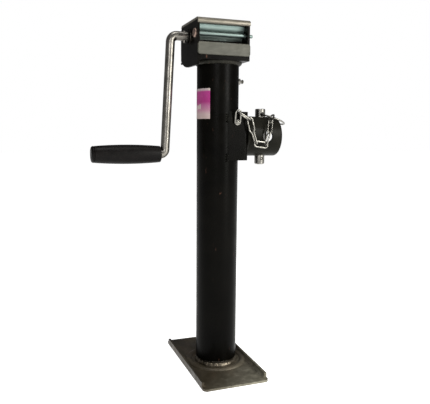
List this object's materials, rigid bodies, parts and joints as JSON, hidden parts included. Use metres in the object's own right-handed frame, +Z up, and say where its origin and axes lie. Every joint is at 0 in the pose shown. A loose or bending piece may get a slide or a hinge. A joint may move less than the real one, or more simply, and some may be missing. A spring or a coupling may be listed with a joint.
{
  "type": "trailer tongue jack",
  "caption": "Side-wind trailer tongue jack: round telescoping tubes, side crank with spinning grip, bevel gear head, welded pipe-mount socket with chained pull pin, foot plate.",
  "frame": {"origin": "underside of the foot plate, on the axis of the two tubes, with the leg retracted", "axes": "+Z up the tubes; +X along the crank shaft from the crank towards the mounting pipe; -Y the side with the lock pin's chain"},
  "size_m": [0.2735, 0.178, 0.474],
  "materials": {
    "black_paint": "black semi-gloss enamel",
    "pipe_steel": "thin black enamel over steel pipe",
    "zinc_plate": "bright zinc plating",
    "foot_steel": "dark olive-grey plated steel, slightly dull",
    "bare_steel": "oiled bare steel",
    "bearing_steel": "greased hardened steel",
    "sintered_bronze": "oil-filled sintered bronze",
    "grip_plastic": "black moulded plastic, satin",
    "label_film": "printed film, magenta above pale pink, without lettering"
  },
  "bodies": {
    "jack_body": {"outer_tube": "black_paint", "tube_label": "label_film", "gear_housing": "black_paint", "housing_lid": "black_paint", "face_plate": "black_paint", "gear_cover": "zinc_plate", "cover_pin": "zinc_plate", "shaft_bush_left": "sintered_bronze", "shaft_bush_right": "sintered_bronze", "lower_race": "bearing_steel", "thrust_balls": "bearing_steel", "head_weld": "black_paint", "grease_fitting": "zinc_plate", "mount_bracket": "black_paint", "mount_pipe": "pipe_steel", "pipe_weld": "pipe_steel", "anchor_weld": "black_paint", "bracket_welds": "black_paint", "chain_link_1": "zinc_plate"},
    "leg": {"inner_tube": "bare_steel", "foot_plate": "foot_steel", "foot_weld": "foot_steel", "drive_nut": "sintered_bronze", "nut_pins": "bare_steel"},
    "screw": {"lead_screw": "bare_steel", "stop_washer": "bare_steel", "stop_pin": "bare_steel", "upper_race": "bearing_steel", "driven_gear": "bearing_steel", "gear_pin": "bare_steel"},
    "crank": {"crank_rod": "zinc_plate", "crank_stop_pin": "zinc_plate", "crank_washer": "zinc_plate", "shaft_clip": "bare_steel", "pinion_gear": "bearing_steel", "pinion_pin": "bare_steel", "grip_nut": "zinc_plate"},
    "grip": {"hand_grip": "grip_plastic"},
    "lock_pin": {"lock_pin": "zinc_plate", "detent_ball": "bearing_steel"},
    "ring": {"pull_ring": "zinc_plate"},
    "link_2": {"chain_link_2": "zinc_plate"},
    "link_3": {"chain_link_3": "zinc_plate"},
    "link_4": {"chain_link_4": "zinc_plate"},
    "link_5": {"chain_link_5": "zinc_plate"},
    "link_6": {"chain_link_6": "zinc_plate"},
    "link_7": {"chain_link_7": "zinc_plate"},
    "link_8": {"chain_link_8": "zinc_plate"}
  },
  "joints": [
    {"name": "crank_spin", "type": "hinge", "parent": "jack_body", "child": "crank", "pos_m": [0, 0, 0.4542], "axis": [1, 0, 0], "range_deg": [0, 36000]},
    {"name": "screw_spin", "type": "hinge", "parent": "jack_body", "child": "screw", "pos_m": [0, 0, 0.2], "axis": [0, 0, 1], "range_deg": [-18000, 0]},
    {"name": "leg_slide", "type": "slide", "parent": "jack_body", "child": "leg", "axis": [0, 0, -1], "range_m": [0, 0.254]},
    {"name": "grip_spin", "type": "hinge", "parent": "crank", "child": "grip", "pos_m": [-0.127, 0, 0.2993], "axis": [1, 0, 0], "continuous": true},
    {"name": "pin_pull", "type": "slide", "parent": "jack_body", "child": "lock_pin", "axis": [0, 0, 1], "range_m": [0, 0.066]},
    {"name": "ring_swing", "type": "hinge", "parent": "lock_pin", "child": "ring", "pos_m": [0.0642, 0, 0.354], "axis": [0, -1, 0], "range_deg": [0, 5.5]},
    {"name": "link_2_swing", "type": "hinge", "parent": "jack_body", "child": "link_2", "pos_m": [0.0174, -0.0336, 0.3554], "axis": [0, -1, 0], "range_deg": [0, 67.5]},
    {"name": "link_3_swing", "type": "hinge", "parent": "link_2", "child": "link_3", "pos_m": [0.03403, -0.0336, 0.34541], "axis": [0, -1, 0], "range_deg": [0, 4.5]},
    {"name": "link_4_swing", "type": "hinge", "parent": "link_3", "child": "link_4", "pos_m": [0.03737, -0.0336, 0.33202], "axis": [0, -1, 0], "range_deg": [-4.5, 0]},
    {"name": "link_5_swing", "type": "hinge", "parent": "link_4", "child": "link_5", "pos_m": [0.044, -0.0336, 0.31379], "axis": [0, -1, 0], "range_deg": [-3.5, 0]},
    {"name": "link_6_swing", "type": "hinge", "parent": "link_5", "child": "link_6", "pos_m": [0.05767, -0.0336, 0.31187], "axis": [0, -1, 0], "range_deg": [-38.5, 0]},
    {"name": "link_7_swing", "type": "hinge", "parent": "link_6", "child": "link_7", "pos_m": [0.06366, -0.0326, 0.33029], "axis": [0, -1, 0], "range_deg": [-5.5, 0]},
    {"name": "link_8_swing", "type": "hinge", "parent": "link_7", "child": "link_8", "pos_m": [0.06742, -0.0276, 0.34259], "axis": [0, -1, 0], "range_deg": [0, 2.5]}
  ],
  "couplings": [
    {"joint": "screw_spin", "follows": "crank_spin", "ratio": -0.5},
    {"joint": "leg_slide", "follows": "crank_spin", "m_per_rad": 0.00040425},
    {"joint": "ring_swing", "follows": "pin_pull", "rad_per_m": 1.3222},
    {"joint": "link_2_swing", "follows": "pin_pull", "rad_per_m": 17.718},
    {"joint": "link_3_swing", "follows": "pin_pull", "rad_per_m": 1.0578},
    {"joint": "link_4_swing", "follows": "pin_pull", "rad_per_m": -1.0578},
    {"joint": "link_5_swing", "follows": "pin_pull", "rad_per_m": -0.79333},
    {"joint": "link_6_swing", "follows": "pin_pull", "rad_per_m": -10.049},
    {"joint": "link_7_swing", "follows": "pin_pull", "rad_per_m": -1.3222},
    {"joint": "link_8_swing", "follows": "pin_pull", "rad_per_m": 0.52889}
  ]
}
